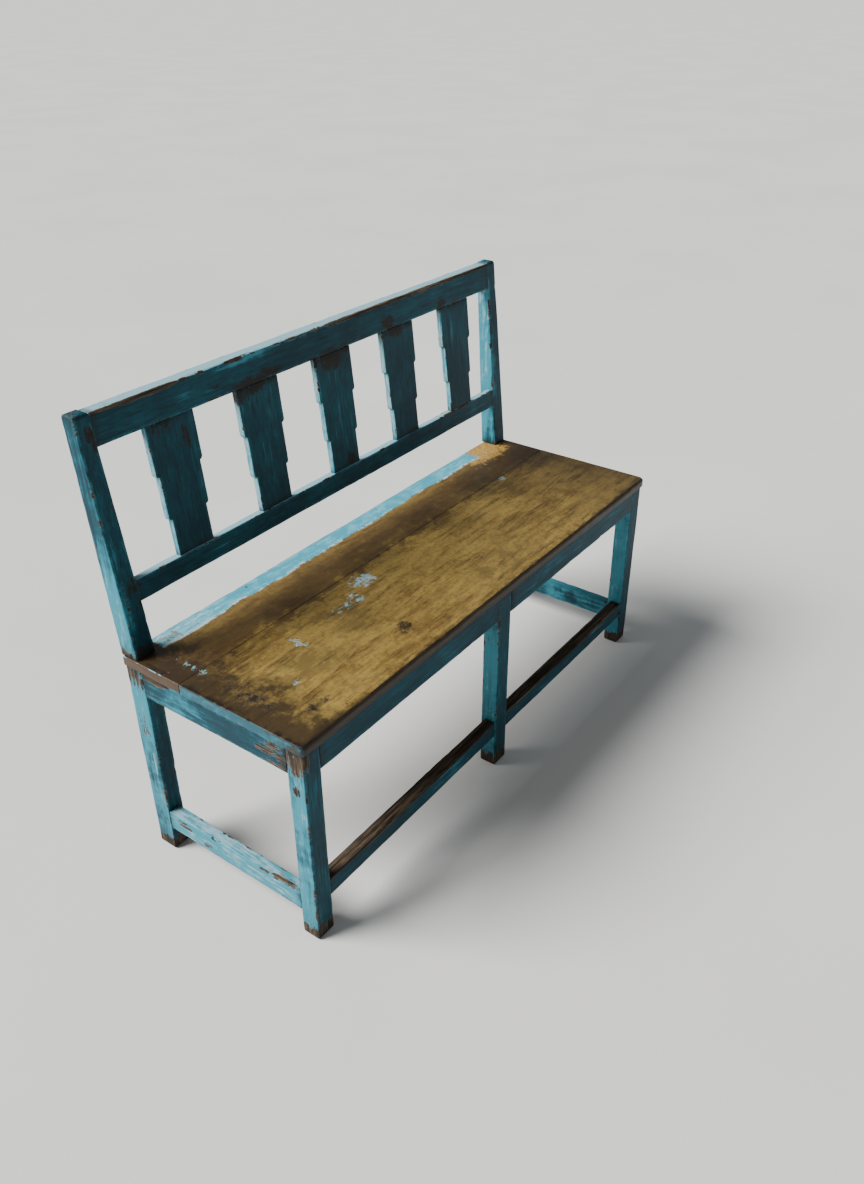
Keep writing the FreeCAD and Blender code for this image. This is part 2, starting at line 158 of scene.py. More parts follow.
class BENCH_PG_timber(bpy.types.PropertyGroup):
    """Shape of the worn boards."""

    edge_round: size("Edge round", "Radius of a worn long edge", 0.0026)
    end_round: size("End round", "Radius at the ends of a board", 0.0012)
    foot_round: size("Foot round", "Radius at the sole of a leg", 0.0055)
    post_crown: size("Post crown", "Radius round the top of a back post", 0.006)
    rail_round: size("Rail round", "Radius of the top rail's upper edges", 0.003)
    edge_wander: share("Edge wander", "How much a worn edge's radius varies", 0.75)
    nick_depth: size("Nick depth", "Depth of the deepest nicks along an edge", 0.0016)
    surface_wave: size("Surface wave", "How far a planed face wanders", 0.00035)
    station_step: size("Station step", "Length of one strip of a board's mesh", 0.011)
    nosing: size("Nosing", "Radius of the seat's front upper edge", 0.007)
    seat_corner: size("Seat corner", "Radius of the seat's front corners from above", 0.009)
    splat_foot: size("Splat foot width", "Width of a splat's lowest tier", 0.080)
    splat_middle: size("Splat middle width", "Width of a splat's middle tier", 0.0925)
    splat_top: size("Splat top width", "Width of a splat's top tier", 0.105)
    splat_lower: share("Lower step", "Height of the lowest tier over the splat's", 0.29)
    splat_upper: share("Upper step", "Height of the two lower tiers over the splat's", 0.627)
    splat_count: IntProperty(name="Splats", description="Number of splats", default=5, min=2)


class BENCH_PG_paint(bpy.types.PropertyGroup):
    """Old blue-green paint and the wood under it."""

    deep: colour("Deep paint", "The paint where it is sound", (0.003, 0.038, 0.056))
    middle: colour("Middle paint", "The paint where it is rubbed", (0.006, 0.080, 0.112))
    shadow: colour("Brush lines", "The paint in the fine brush and grain lines",
                   (0.003, 0.022, 0.031))
    # Pale and chalk also paint light onto the upward and leftward faces and into the light
    # patches.
    pale: colour("Pale paint", "The paint where it has chalked", (0.050, 0.30, 0.385))
    chalk: colour("Chalk", "Whitish streaks on the outer faces", (0.29, 0.46, 0.50))
    wood_dark: colour("Dark wood", "Bare wood in the grain", (0.020, 0.014, 0.009))
    wood_light: colour("Light wood", "Bare wood on the ridges", (0.155, 0.108, 0.070))
    stain: colour("Stain", "Brown stains over the paint", (0.019, 0.0105, 0.005))
    grime: colour("Grime", "Dirt in the joints", (0.009, 0.010, 0.009))


class BENCH_PG_seat(bpy.types.PropertyGroup):
    """Rubbed and varnished seat boards."""

    gold: colour("Gold", "Worn varnished wood in the open", (0.31, 0.205, 0.050))
    amber: colour("Amber", "The same wood along the grain lines", (0.135, 0.080, 0.018))
    brown: colour("Brown", "Old varnish towards the edges", (0.026, 0.016, 0.008))
    black: colour("Black", "Dirt along the edges and in dents", (0.012, 0.008, 0.005))
    russet: colour("Russet", "The darker wood of the rear board", (0.070, 0.036, 0.014))
    end_paint: colour("End paint", "Paint on the ends of the front board",
                      (0.008, 0.085, 0.118))
    paint: colour("Paint strip", "Paint left along the rear edge", (0.045, 0.29, 0.38))
    paint_light: colour("Light paint", "The same paint where it has chalked",
                        (0.14, 0.42, 0.50))
    residue: colour("Residue", "Whitish paint remains", (0.46, 0.52, 0.52))
    ochre: colour("Ochre", "The rubbed yellow patch at the right", (0.50, 0.29, 0.070))


class BENCH_PG_stage(bpy.types.PropertyGroup):
    """Floor, lights and camera."""

    floor: colour("Floor", "Pale floor", (0.70, 0.69, 0.66))
    key_power: FloatProperty(name="Key light", description="Strength of the soft light behind",
                             default=7.0, min=0.0)
    key_softness: angle("Softness", "Angle across the soft light", 0.55, min=0.0)
    fill_power: FloatProperty(name="Fill light", description="Power of the front light",
                              default=3.0, min=0.0, unit="POWER")
    sky: share("Sky", "Strength of the even light from all round", 0.26)
    backdrop: colour("Backdrop", "What the camera sees past the floor", (0.72, 0.72, 0.71))
    place: FloatVectorProperty(name="Camera place", description="Where the camera stands",
                               default=(-1.42848, -1.09178, 1.47207), subtype="XYZ",
                               unit="LENGTH", size=3)
    heading: angle("Heading", "Turn from +Y towards +X", 0.9385473)
    pitch: angle("Pitch", "Angle above the horizon", -0.5577120)
    roll: angle("Roll", "Turn about the view direction", -0.0055098)
    lens: FloatProperty(name="Lens", description="Focal length on a 36 mm long side",
                        default=30.5415, unit="CAMERA")


# Meshes of worn boards

@dataclass
class Board:
    """A straight board: an origin, three unit axes, a length and its edges at each place."""

    origin: Vector
    along: Vector
    across: Vector
    through: Vector
    length: float
    edges: Callable
    rounding: tuple
    ends: tuple = (True, True)
    stations: tuple = ()

    def point(self, t, a, b):
        return self.origin + self.along * t + self.across * a + self.through * b


def box_board(low, high, along, rounding, ends=(True, True)):
    """A board that fills a box, with its grain along one row axis."""
    across, through = {"x": (Y, Z), "y": (X, Z), "z": (X, Y)}[along]
    axis = {"x": X, "y": Y, "z": Z}[along]
    edges = (low.dot(across), high.dot(across), low.dot(through), high.dot(through))
    return Board(axis * low.dot(axis), axis, across, through, (high - low).dot(axis),
                 lambda t: edges, rounding, ends)


def side_shares(length, corner):
    """Shares of a side's straight part at which its points stand, denser by the corners."""
    inner = max(length - 2 * corner, 1e-4)
    near = [place for place in (0.003, 0.009) if place < inner * 0.4]
    count = max(1, round((inner - 2 * sum(near[-1:])) / 0.02))
    start = near[-1] if near else 0.0
    middle = [start + (inner - 2 * start) * index / count for index in range(1, count)]
    places = near + middle + [inner - place for place in reversed(near)]
    return [place / inner for place in places] or [0.5]


def ring(edges, radii, shares):
    """Points of a rounded section as (a, b, outward a, outward b, distance to a corner)."""
    a0, a1, b0, b1 = edges
    corners = ((a0, b0, 180), (a1, b0, 270), (a1, b1, 0), (a0, b1, 90))
    arcs = []
    for (a, b, start), radius in zip(corners, radii):
        centre_a = a + radius if a == a0 else a - radius
        centre_b = b + radius if b == b0 else b - radius
        arc = []
        for step in range(4):
            angle = math.radians(start + 30 * step)
            arc.append((centre_a + radius * math.cos(angle),
                        centre_b + radius * math.sin(angle),
                        math.cos(angle), math.sin(angle), 0.0))
        arcs.append(arc)
    points = []
    for index, arc in enumerate(arcs):
        points += arc
        start, end = arc[-1], arcs[(index + 1) % 4][0]
        length = math.hypot(end[0] - start[0], end[1] - start[1])
        for part in shares[index % 2]:
            points.append((start[0] + (end[0] - start[0]) * part,
                           start[1] + (end[1] - start[1]) * part,
                           start[2], start[3], length * min(part, 1 - part)))
    return points


def board_stations(board, timber):
    """Places along a board, with its rounded ends as (place, inset)."""
    if board.stations:
        middle = board.stations
    else:
        count = max(2, round(board.length / timber.station_step))
        margin = timber.foot_round * 1.2
        middle = [margin + (board.length - 2 * margin) * index / count
                  for index in range(count + 1)]
    stations = []
    for radius, is_start in ((board.ends[0], True), (board.ends[1], False)):
        radius = timber.end_round if radius is True else radius
        rounded = [(radius * (1 - math.cos(angle)), radius * (1 - math.sin(angle)))
                   for angle in (0.0, 0.5, 1.0, math.pi / 2)] if radius else [(0.0, 0.0)]
        if is_start:
            stations += rounded
            stations += [(place, 0.0) for place in middle]
        else:
            stations += [(board.length - place, inset) for place, inset in reversed(rounded)]
    return stations


def worn_mesh(name, board, timber, seed):
    """Mesh of one board with worn edges, and the attributes that its material reads."""
    start = board.edges(board.length / 2)
    shares = (side_shares(start[1] - start[0], timber.edge_round),
              side_shares(start[3] - start[2], timber.edge_round))
    stations = board_stations(board, timber)
    shift = Vector((seed * 3.71, seed * 1.93, seed * 0.77))
    places, grain, edge, end = [], [], [], []
    for t, inset in stations:
        a0, a1, b0, b1 = board.edges(t)
        radii = []
        for index, rounding in enumerate(board.rounding):
            wander = noise.noise(Vector((t * 9.0, index * 5.3, seed * 2.1)))
            wander += 0.5 * noise.noise(Vector((t * 45.0, index * 3.7, seed * 1.3)))
            limit = min(a1 - a0, b1 - b0) * 0.45
            radius = rounding * (1 + timber.edge_wander * wander) - inset * 0.8
            radii.append(min(limit, max(radius, 0.0003)))
        section = ring((a0 + inset, a1 - inset, b0 + inset, b1 - inset), radii, shares)
        for a, b, out_a, out_b, from_edge in section:
            place = board.point(t, a, b)
            wave = timber.surface_wave * (noise.noise(place * 11 + shift) - 0.6)
            if from_edge == 0.0 and not inset:
                nick = noise.noise(place * 70 + shift) - 0.42
                wave -= timber.nick_depth * max(nick, 0.0) / 0.4
            places.append(place + (board.across * out_a + board.through * out_b) * wave)
            grain.append((t + seed * 1.37, a + seed * 0.211, b + seed * 0.097))
            edge.append(max(0.0, from_edge - inset))
            end.append(min(t, board.length - t))
    around = len(places) // len(stations)
    faces = [[around * row + (column + 1) % around, around * row + column,
              around * (row + 1) + column, around * (row + 1) + (column + 1) % around]
             for row in range(len(stations) - 1) for column in range(around)]
    faces.append(list(range(around)))
    faces.append(list(range(len(places) - 1, len(places) - around - 1, -1)))
    mesh = bpy.data.meshes.new(name)
    mesh.from_pydata(places, [], faces)
    turn_faces_outward(mesh)
    store(mesh, "grain", "FLOAT_VECTOR", "vector", [part for row in grain for part in row])
    store(mesh, "edge_distance", "FLOAT", "value", edge)
    store(mesh, "end_distance", "FLOAT", "value", end)
    mesh.set_sharp_from_angle(angle=math.radians(40))
    return mesh


def turn_faces_outward(mesh):
    shell = bmesh.new()
    shell.from_mesh(mesh)
    bmesh.ops.recalc_face_normals(shell, faces=shell.faces)
    for face in shell.faces:
        face.smooth = True
    shell.to_mesh(mesh)
    shell.free()


def store(mesh, name, kind, key, values):
    mesh.attributes.new(name, kind, "POINT").data.foreach_set(key, values)


def add_piece(name, mesh, material, nodes):
    """Put a finished mesh in the scene, on the frame's body, in place of CAD nodes."""
    piece = bpy.data.objects.new(name, mesh)
    bpy.context.collection.objects.link(piece)
    if material.name not in mesh.materials:
        mesh.materials.append(material)
    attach(piece, "root")
    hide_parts(*nodes)
    return piece


def square_rounding(timber, scale=1.0):
    """The same edge radius at all four corners of a board's section."""
    return (timber.edge_round * scale,) * 4


# Node trees, written as plain sums

class Term:
    """A node's output, for use in sums. A bar between two masks takes the stronger one."""

    def __init__(self, nodes, socket):
        self.nodes = nodes
        self.socket = socket

    def __add__(self, other):
        return self.nodes.math("ADD", self, other)

    def __sub__(self, other):
        return self.nodes.math("SUBTRACT", self, other)

    def __rsub__(self, other):
        return self.nodes.math("SUBTRACT", other, self)

    def __mul__(self, other):
        return self.nodes.math("MULTIPLY", self, other)

    def __truediv__(self, other):
        return self.nodes.math("DIVIDE", self, other)

    def __or__(self, other):
        return self.nodes.math("MAXIMUM", self, other)

    def __abs__(self):
        return self.nodes.math("ABSOLUTE", self)

    def rise(self, low, high, to_low=0.0, to_high=1.0):
        """A smooth step from low to high. It falls where low is the larger number."""
        inputs = {"Value": self, "From Min": low, "From Max": high,
                  "To Min": to_low, "To Max": to_high}
        return self.nodes.out("ShaderNodeMapRange", inputs, interpolation_type="SMOOTHSTEP")

    def covered(self, mask, colour):
        """This colour, with another one over it where the mask is set."""
        return self.nodes.mix(mask, self, colour)


class Nodes:
    """A node tree, with plain calls that add to it."""

    def __init__(self, tree):
        self.tree = tree

    def node(self, kind, inputs=None, **settings):
        node = self.tree.nodes.new(kind)
        for key, value in settings.items():
            setattr(node, key, value)
        for key, value in (inputs or {}).items():
            self.feed(node.inputs[key], value)
        return node

    def feed(self, socket, value):
        """Link a term to an input, or set the input to a value."""
        if isinstance(value, Term):
            self.tree.links.new(value.socket, socket)
        elif socket.type == "RGBA" and len(value) == 3:
            socket.default_value = (*value, 1.0)
        else:
            socket.default_value = value

    def out(self, kind, inputs=None, output=0, **settings):
        """One output of a new node, as a term."""
        return Term(self, self.node(kind, inputs, **settings).outputs[output])

    def math(self, operation, first, second=0.0):
        return self.out("ShaderNodeMath", {0: first, 1: second}, operation=operation)

    def vector(self, operation, first, second):
        return self.out("ShaderNodeVectorMath", {0: first, 1: second}, operation=operation)

    def mix(self, amount, low, high):
        return self.out("ShaderNodeMix", {0: amount, 6: low, 7: high}, 2, data_type="RGBA")


class Graph(Nodes):
    """The shader nodes of one material."""

    def __init__(self, name):
        self.material = bpy.data.materials.new(name)
        self.material.use_nodes = True
        super().__init__(self.material.node_tree)
        self.tree.nodes.clear()
        self.place = self.out("ShaderNodeTexCoord", output="Object")

    def attribute(self, name, output="Fac"):
        return self.out("ShaderNodeAttribute", output=output, attribute_name=name)

    def grain(self):
        """Coordinates along the grain, moved apart for the copies of one board."""
        return self.vector("ADD", self.attribute("grain", "Vector"),
                           self.attribute("copy", "Vector"))

    def parts(self, vector):
        outputs = self.node("ShaderNodeSeparateXYZ", {0: vector}).outputs
        return [Term(self, output) for output in outputs]

    def facing(self):
        """X, Y and Z of the direction that the surface faces."""
        return self.parts(self.out("ShaderNodeNewGeometry", output="Normal"))

    def noise(self, vector, scale, detail, rough=0.55, twist=0.0, shift=(0.0, 0.0, 0.0)):
        """Noise with one scale or, where it is stretched, a scale for each axis."""
        if isinstance(scale, tuple):
            vector = self.out("ShaderNodeMapping", {"Vector": vector, "Scale": scale,
                                                    "Location": shift})
            scale = 1.0
        return self.out("ShaderNodeTexNoise", {"Vector": vector, "Scale": scale,
                                               "Detail": detail, "Roughness": rough,
                                               "Distortion": twist})

    def distance(self, centre, reach):
        """Distance from a centre, counted in its reach along each axis."""
        offset = self.vector("SUBTRACT", self.place, centre)
        scaled = self.vector("DIVIDE", offset, reach)
        return self.out("ShaderNodeVectorMath", {0: scaled}, "Value", operation="LENGTH")

    def strongest(self, spots):
        """One soft mask of several patches, each given as centre, reach and strength."""
        mask = None
        for centre, reach, strength in spots:
            soft = self.distance(centre, reach).rise(1.4, 0.3) * strength
            mask = mask | soft if mask else soft
        return mask

    def patches(self, torn, spots, filling=0.32, softness=0.04):
        """One mask of several patches, with edges torn by a noise."""
        mask = self.strongest(spots)
        level = mask * filling + torn
        return mask.rise(0.0, 0.12) * level.rise(TORN_AT - softness, TORN_AT + softness)

    def finish(self, base, roughness, height, strength, distance, coat=0.0, specular=0.5):
        bump = self.out("ShaderNodeBump", {"Height": height, "Strength": strength,
                                           "Distance": distance})
        shader = self.out("ShaderNodeBsdfPrincipled", {
            "Base Color": base, "Roughness": roughness, "Normal": bump,
            "Coat Weight": coat, "Coat Roughness": 0.35, "Specular IOR Level": specular})
        self.node("ShaderNodeOutputMaterial", {"Surface": shader})
        return self.material


# Materials

class PaintGraph(Graph):
    """Layers of old paint over wood, and the noises that they share."""

    def __init__(self, name, paint):
        super().__init__(name)
        grain = self.grain()
        self.paint = paint
        self.edge = self.attribute("edge_distance")
        self.end = self.attribute("end_distance")
        self.height = self.parts(self.place)[2]
        self.fibre = self.noise(grain, (22.0, 330.0, 330.0), 4.0, 0.68)
        self.streak = self.noise(grain, (9.0, 110.0, 110.0), 7.0, 0.70)
        self.ridges = self.noise(grain, (4.0, 120.0, 120.0), 4.0)
        self.broad = self.noise(self.place, 7.0, 4.0, 0.6)
        self.mottle = self.noise(self.place, 46.0, 8.0, 0.72)
        self.fine = self.noise(self.place, 260.0, 3.0, 0.65)
        self.torn = self.mottle * 0.40 + self.streak * 0.60

    def brushed(self, chalk, pale, sides, light):
        """Brushed tones, then pale and whitish where the paint has chalked, and paler on lit
        faces as painted light.
        """
        paint, torn, broad = self.paint, self.torn, self.broad
        tone = broad * 0.40 + torn * 0.60
        body = self.mix(tone.rise(0.42, 0.60), paint.deep, paint.middle)
        body = body.covered(self.fibre.rise(0.52, 0.38) * 0.65, paint.shadow)
        scraped = self.streak.rise(0.58, 0.62) * broad.rise(0.46, 0.60)
        body = body.covered(scraped * 0.30, paint.pale)

        # Painted light: faces turned up or to the left (-X) are painted paler, as if lit from
        # above and the left; sides scales it.
        sideways, _, upward = self.facing()
        level = upward.rise(0.55, 0.9) * (0.20 * sides)
        level += sideways.rise(-0.55, -0.9) * (0.13 * sides)
        # The light patches are painted light: paler paint where light falls on them.
        if light:
            level += self.strongest(light) * 0.20
        # The pale paint here is partly chalking and partly painted light on the lit faces.
        chalk_and_lit_faces = torn * 0.55 + broad * 0.45 + level
        chalk_and_lit_faces = chalk_and_lit_faces.rise(0.60 - 0.06 * pale, 0.76 - 0.08 * pale)
        body = body.covered(chalk_and_lit_faces * 0.75, paint.pale)
        # The whitish chalk is also stronger on the lit faces, partly as painted light.
        whitish = self.fibre * 0.35 + torn * 0.65 + level * 0.5
        whitish = whitish.rise(0.68 - 0.10 * chalk, 0.76 - 0.10 * chalk)
        body = body.covered(whitish * 0.80, paint.chalk)
        rubbed_edge = self.edge.rise(0.003, 0.0005) * self.mottle.rise(0.42, 0.60)
        return body.covered(rubbed_edge * 0.30, paint.pale)

    def rubbed_through(self, wear, foot, bare):
        """Where wood shows: broken lines along the edges, ends, patches and feet."""
        width = 0.0016
        reach = self.mottle.rise(0.40, 0.68) * (width * 1.8) + width * 0.25
        gaps = self.noise(self.place, 26.0, 5.0, 0.65)
        worn = (self.edge / reach).rise(1.15, 0.6)
        worn *= gaps.rise(0.60 - 0.14 * wear, 0.66 - 0.14 * wear)
        rub = self.streak * 0.5 + self.mottle * 0.5 + self.end.rise(0.03, 0.0, 0.0, 0.06)
        worn |= rub.rise(0.74 - 0.08 * wear, 0.78 - 0.08 * wear)
        if bare:
            worn |= self.patches(self.torn, bare)
        if foot:
            height = self.height + (self.torn * -0.10 + 0.050)
            worn |= height.rise(foot * 1.10, foot * 0.92)
        return worn

    def over_wood(self, body, worn):
        """The paint over weathered wood, with a whitish lip where it breaks off."""
        paint = self.paint
        tone = self.fibre.rise(0.35, 0.65) * self.ridges.rise(0.35, 0.62)
        wood = self.mix(tone, paint.wood_dark, paint.wood_light)
        lip = worn.rise(0.05, 0.35) * worn.rise(0.95, 0.6)
        body = body.covered(lip * 0.25, paint.chalk)
        return body.covered(worn.rise(0.30, 0.70), wood)

    def soiled(self, base, foot, stains):
        """Brown stains, damp feet, dirt at the ends and specks."""
        paint, torn, mottle = self.paint, self.torn, self.mottle
        if stains:
            ragged = torn * 1.6 + self.fine * 0.4 - 0.5
            soaked = self.patches(ragged, stains, 0.27, 0.06)
            base = base.covered(soaked * 0.88, paint.stain)
        if foot:
            damp = self.height.rise(0.10, 0.01) * torn.rise(0.42, 0.58)
            base = base.covered(damp * 0.55, paint.grime)
        dirt = self.end.rise(0.018, 0.0) * mottle.rise(0.32, 0.60)
        specks = self.fine.rise(0.64, 0.72) * mottle.rise(0.50, 0.60)
        return base.covered(dirt * 0.75 | specks * 0.7, paint.grime)


def paint_material(name, paint, wear, chalk, pale, sides=1.0, foot=0.0, bare=(), stains=(),
                   light=()):
    """Old paint over wood: brushed, chalked, stained, rubbed through in places, and painted
    paler where lit.
    """
    graph = PaintGraph(name, paint)
    worn = graph.rubbed_through(wear, foot, bare)
    base = graph.over_wood(graph.brushed(chalk, pale, sides, light), worn)
    rough = graph.mottle * 0.25 + 0.42 + worn * 0.16
    height = graph.fibre * 0.40 + graph.streak * 0.35 + graph.mottle * 0.30
    height += (1.0 - worn) * 0.55
    return graph.finish(graph.soiled(base, foot, stains), rough, height, 0.60, 0.0011,
                        specular=0.18)


class SeatGraph(Graph):
    """Layers of the seat boards' wood and paint, and the noises that they share."""

    def __init__(self, name, seat, front_y, rear_y):
        super().__init__(name)
        grain = self.grain()
        self.seat = seat
        self.rear_y = rear_y
        self.x, self.y, z = self.parts(self.place)
        self.below_top = seat_top - z
        self.from_front = self.y - front_y
        self.behind_joint = self.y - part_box("seat_board_rear")[0].y
        self.fibre = self.noise(grain, (24.0, 210.0, 210.0), 6.0, 0.72)
        self.figure = self.noise(grain, (6.0, 44.0, 44.0), 7.0, 0.68, 0.8)
        self.mottle = self.noise(self.place, 30.0, 6.0, 0.68)
        self.fine = self.noise(self.place, 170.0, 4.0, 0.68)
        self.ragged = self.mottle * 0.30 - 0.15

    def rubbed_wood(self):
        """Rubbed varnish over straight-grained boards."""
        seat = self.seat
        cloud = self.noise(self.place, (4.2, 7.0, 7.0), 8.0, 0.66, shift=(0.3, 0.1, 0.0))
        blotch = self.noise(self.place, 34.0, 9.0, 0.76)
        grit = self.noise(self.place, 150.0, 5.0, 0.75)
        tone = self.figure * 0.25 + cloud * 0.30 + blotch * 0.25 + grit * 0.20
        base = self.mix(tone.rise(0.43, 0.56), seat.amber, seat.gold)
        line = self.fibre.rise(0.50, 0.40) * self.figure.rise(0.62, 0.40)
        base = base.covered(line * 0.60, seat.brown)
        stained = (cloud * 0.55 + blotch * 0.45).rise(0.49, 0.60)
        base = base.covered(stained * 0.55, seat.brown)
        bend = self.noise(self.place, (5.0, 9.0, 9.0), 1.0, 0.4, 0.5)
        scratch = abs(bend - 0.52).rise(0.0035, 0.0012) * grit.rise(0.47, 0.55)
        return base.covered(scratch * 0.45, seat.gold)

    def dark_edges(self, base):
        """Old dark varnish along the front and the left end, darker towards the right end, and
        darker wood behind the joint with painted shadow.
        """
        seat, mottle, from_front = self.seat, self.mottle, self.from_front
        half_length = (cad_high.x - cad_low.x) / 2
        from_left, from_right = self.x + half_length, half_length - self.x
        left = (from_left + self.ragged).rise(0.135, 0.03)
        # Darker towards the right end.
        right = (from_right + self.ragged).rise(0.34, -0.03, 0.0, 0.75)
        front = (from_front + self.ragged * 0.2).rise(0.015, 0.002)
        # The rear board's darker wood, strongest in a band just behind the joint that is partly
        # painted shadow of the lower rail.
        joint = self.behind_joint + self.ragged * 0.5
        rear = joint.rise(-0.012, 0.002) * joint.rise(0.10, 0.05, 0.5, 1.0)
        rear *= mottle.rise(0.36, 0.50, 0.55, 1.0)
        base = base.covered(rear * 0.72, seat.russet)
        base = base.covered((left | right) * 0.90, seat.brown)
        base = base.covered(front * 0.60, seat.brown)
        base = base.covered(from_front.rise(0.0040, 0.0022) * 0.92, seat.brown)
        line = from_front.rise(0.0065, 0.0050) * from_front.rise(0.0022, 0.0034)
        line *= mottle.rise(0.38, 0.50, 0.35, 0.95)
        crack = from_left.rise(0.016, 0.002) * mottle.rise(0.46, 0.54)
        return base.covered(line | crack, seat.black)

    def apron_paint(self, lightest):
        """Paint like the aprons', part of the way to the rear strip's in patches."""
        tone = self.mottle.rise(0.42, 0.60, 0.0, lightest)
        return self.mix(tone, self.seat.end_paint, self.seat.paint)

    def board_ends(self, base):
        """The ends: painted with the apron on the front board, bare on the rear board."""
        mottle, below_top = self.mottle, self.below_top
        sideways = abs(self.facing()[0])
        end = sideways.rise(0.45, 0.65)
        front_board = self.behind_joint.rise(0.0005, -0.0005)
        rear_board = 1.0 - front_board
        rubbed = below_top.rise(0.006, 0.001) * mottle.rise(0.44, 0.50)
        rubbed |= (self.from_front + self.ragged).rise(0.080, 0.020)
        base = base.covered(end * rear_board * 0.85, self.seat.russet)
        rim = sideways.rise(0.15, 0.40) * below_top.rise(0.0030, 0.0012) * rear_board
        rim *= mottle.rise(0.44, 0.52)
        base = base.covered(rim * 0.8, self.seat.paint_light)
        painted = end * front_board * (1.0 - rubbed * 0.9)
        return base.covered(painted, self.apron_paint(0.35))

    def rear_strip(self, base):
        """The strip of blue paint along the rear edge, with a torn pale boundary."""
        seat, x, mottle, fine = self.seat, self.x, self.mottle, self.fine
        wave = self.noise(self.place, (7.0, 0.0, 0.0), 6.0, 0.62)
        torn = fine * 0.006 - 0.003
        beyond = self.y - (wave * 0.040 + (self.rear_y - 0.062)) + torn
        in_length = (x + torn * 4.0).rise(-0.535, -0.528)
        in_length *= (x + torn * 6.0).rise(0.475, 0.452)
        strip = beyond.rise(-0.0008, 0.0008) * in_length
        brushed = self.noise(self.place, (16.0, 120.0, 120.0), 7.0, 0.72)
        leftmost = x.rise(-0.28, -0.50, 0.0, 0.10)
        tone = (brushed * 0.55 + mottle * 0.45 + leftmost).rise(0.46, 0.60)
        tone = self.mix(tone, seat.paint, seat.paint_light)
        whitish = (brushed * 0.6 + fine * 0.4 + leftmost).rise(0.60, 0.64)
        tone = tone.covered(whitish * 0.8, seat.residue)
        flaked = fine * 0.35 + mottle * 0.65 + leftmost
        base = base.covered(strip * (1.0 - flaked.rise(0.62, 0.65) * 0.75), tone)
        rim = beyond.rise(-0.0045, 0.0) * beyond.rise(0.0075, 0.002) * in_length
        base = base.covered(rim * flaked.rise(0.50, 0.56) * 0.9, seat.residue)
        bare_edge = self.y.rise(self.rear_y - 0.004, self.rear_y - 0.0025) * in_length
        base = base.covered(bare_edge * 0.6, seat.amber)
        behind = self.facing()[1].rise(0.4, 0.65) * flaked.rise(0.62, 0.56)
        return base.covered(behind, self.apron_paint(0.5)), strip


def on_seat(x, y, reach_x, reach_y, strength):
    """A patch on top of the seat."""
    return (x, y, seat_top), (reach_x, reach_y, 0.05), strength


def seat_material(name, seat, front_y, rear_y):
    """The seat boards: golden where rubbed, dark at the edges, with paint remains."""
    graph = SeatGraph(name, seat, front_y, rear_y)
    mottle, fine = graph.mottle, graph.fine
    base = graph.board_ends(graph.dark_edges(graph.rubbed_wood()))
    near = graph.distance((0.495, rear_y - 0.040, seat_top), (0.085, 0.046, 0.05))
    ochre = (near + (mottle * 3.0 - 1.5)).rise(1.0, 0.72) * fine.rise(0.62, 0.40, 0.45, 1.0)
    base, strip = graph.rear_strip(base.covered(ochre * 0.9, seat.ochre))

    flakes = graph.noise(graph.place, (58.0, 82.0, 60.0), 8.0, 0.72, 0.6)
    residue = graph.patches(flakes, [on_seat(*spot) for spot in PAINT_REMAINS], 0.24, 0.03)
    tone = graph.mix(fine.rise(0.45, 0.60), seat.paint_light, seat.residue)
    base = base.covered(residue * 0.72, tone)
    scars = graph.patches(flakes, [on_seat(*spot) for spot in SCARS], 0.24, 0.03)
    marks = scars | fine.rise(0.66, 0.70) * mottle.rise(0.54, 0.60)
    base = base.covered(marks * 0.8, seat.black)

    covered = strip | residue
    rough = mottle * 0.30 + 0.30 + covered * 0.2
    height = graph.fibre * 0.45 + graph.figure * 0.25 - marks * 0.8 + covered * 0.4
    return graph.finish(base, rough, height, 0.50, 0.0010, coat=0.04, specular=0.30)


def iron_material(name):
    """Dark nail heads, rubbed brighter on top."""
    graph = Graph(name)
    rust = graph.noise(graph.place, 160.0, 4.0, 0.6)
    pits = graph.noise(graph.place, 700.0, 3.0, 0.6)
    base = graph.mix(rust.rise(0.4, 0.65), (0.020, 0.014, 0.011), (0.085, 0.040, 0.020))
    return graph.finish(base, rust * 0.3 + 0.42, pits, 0.5, 0.0004)


def floor_material(name, floor):
    """Plain pale floor with a faint unevenness."""
    graph = Graph(name)
    cloud = graph.noise(graph.place, 1.1, 5.0, 0.6)
    grit = graph.noise(graph.place, 60.0, 4.0, 0.6)
    shade = [channel * 0.95 for channel in floor]
    base = graph.mix(cloud.rise(0.3, 0.7), shade, floor)
    return graph.finish(base, cloud * 0.2 + 0.55, grit, 0.12, 0.0006, specular=0.3)


# Geometry Nodes for what repeats

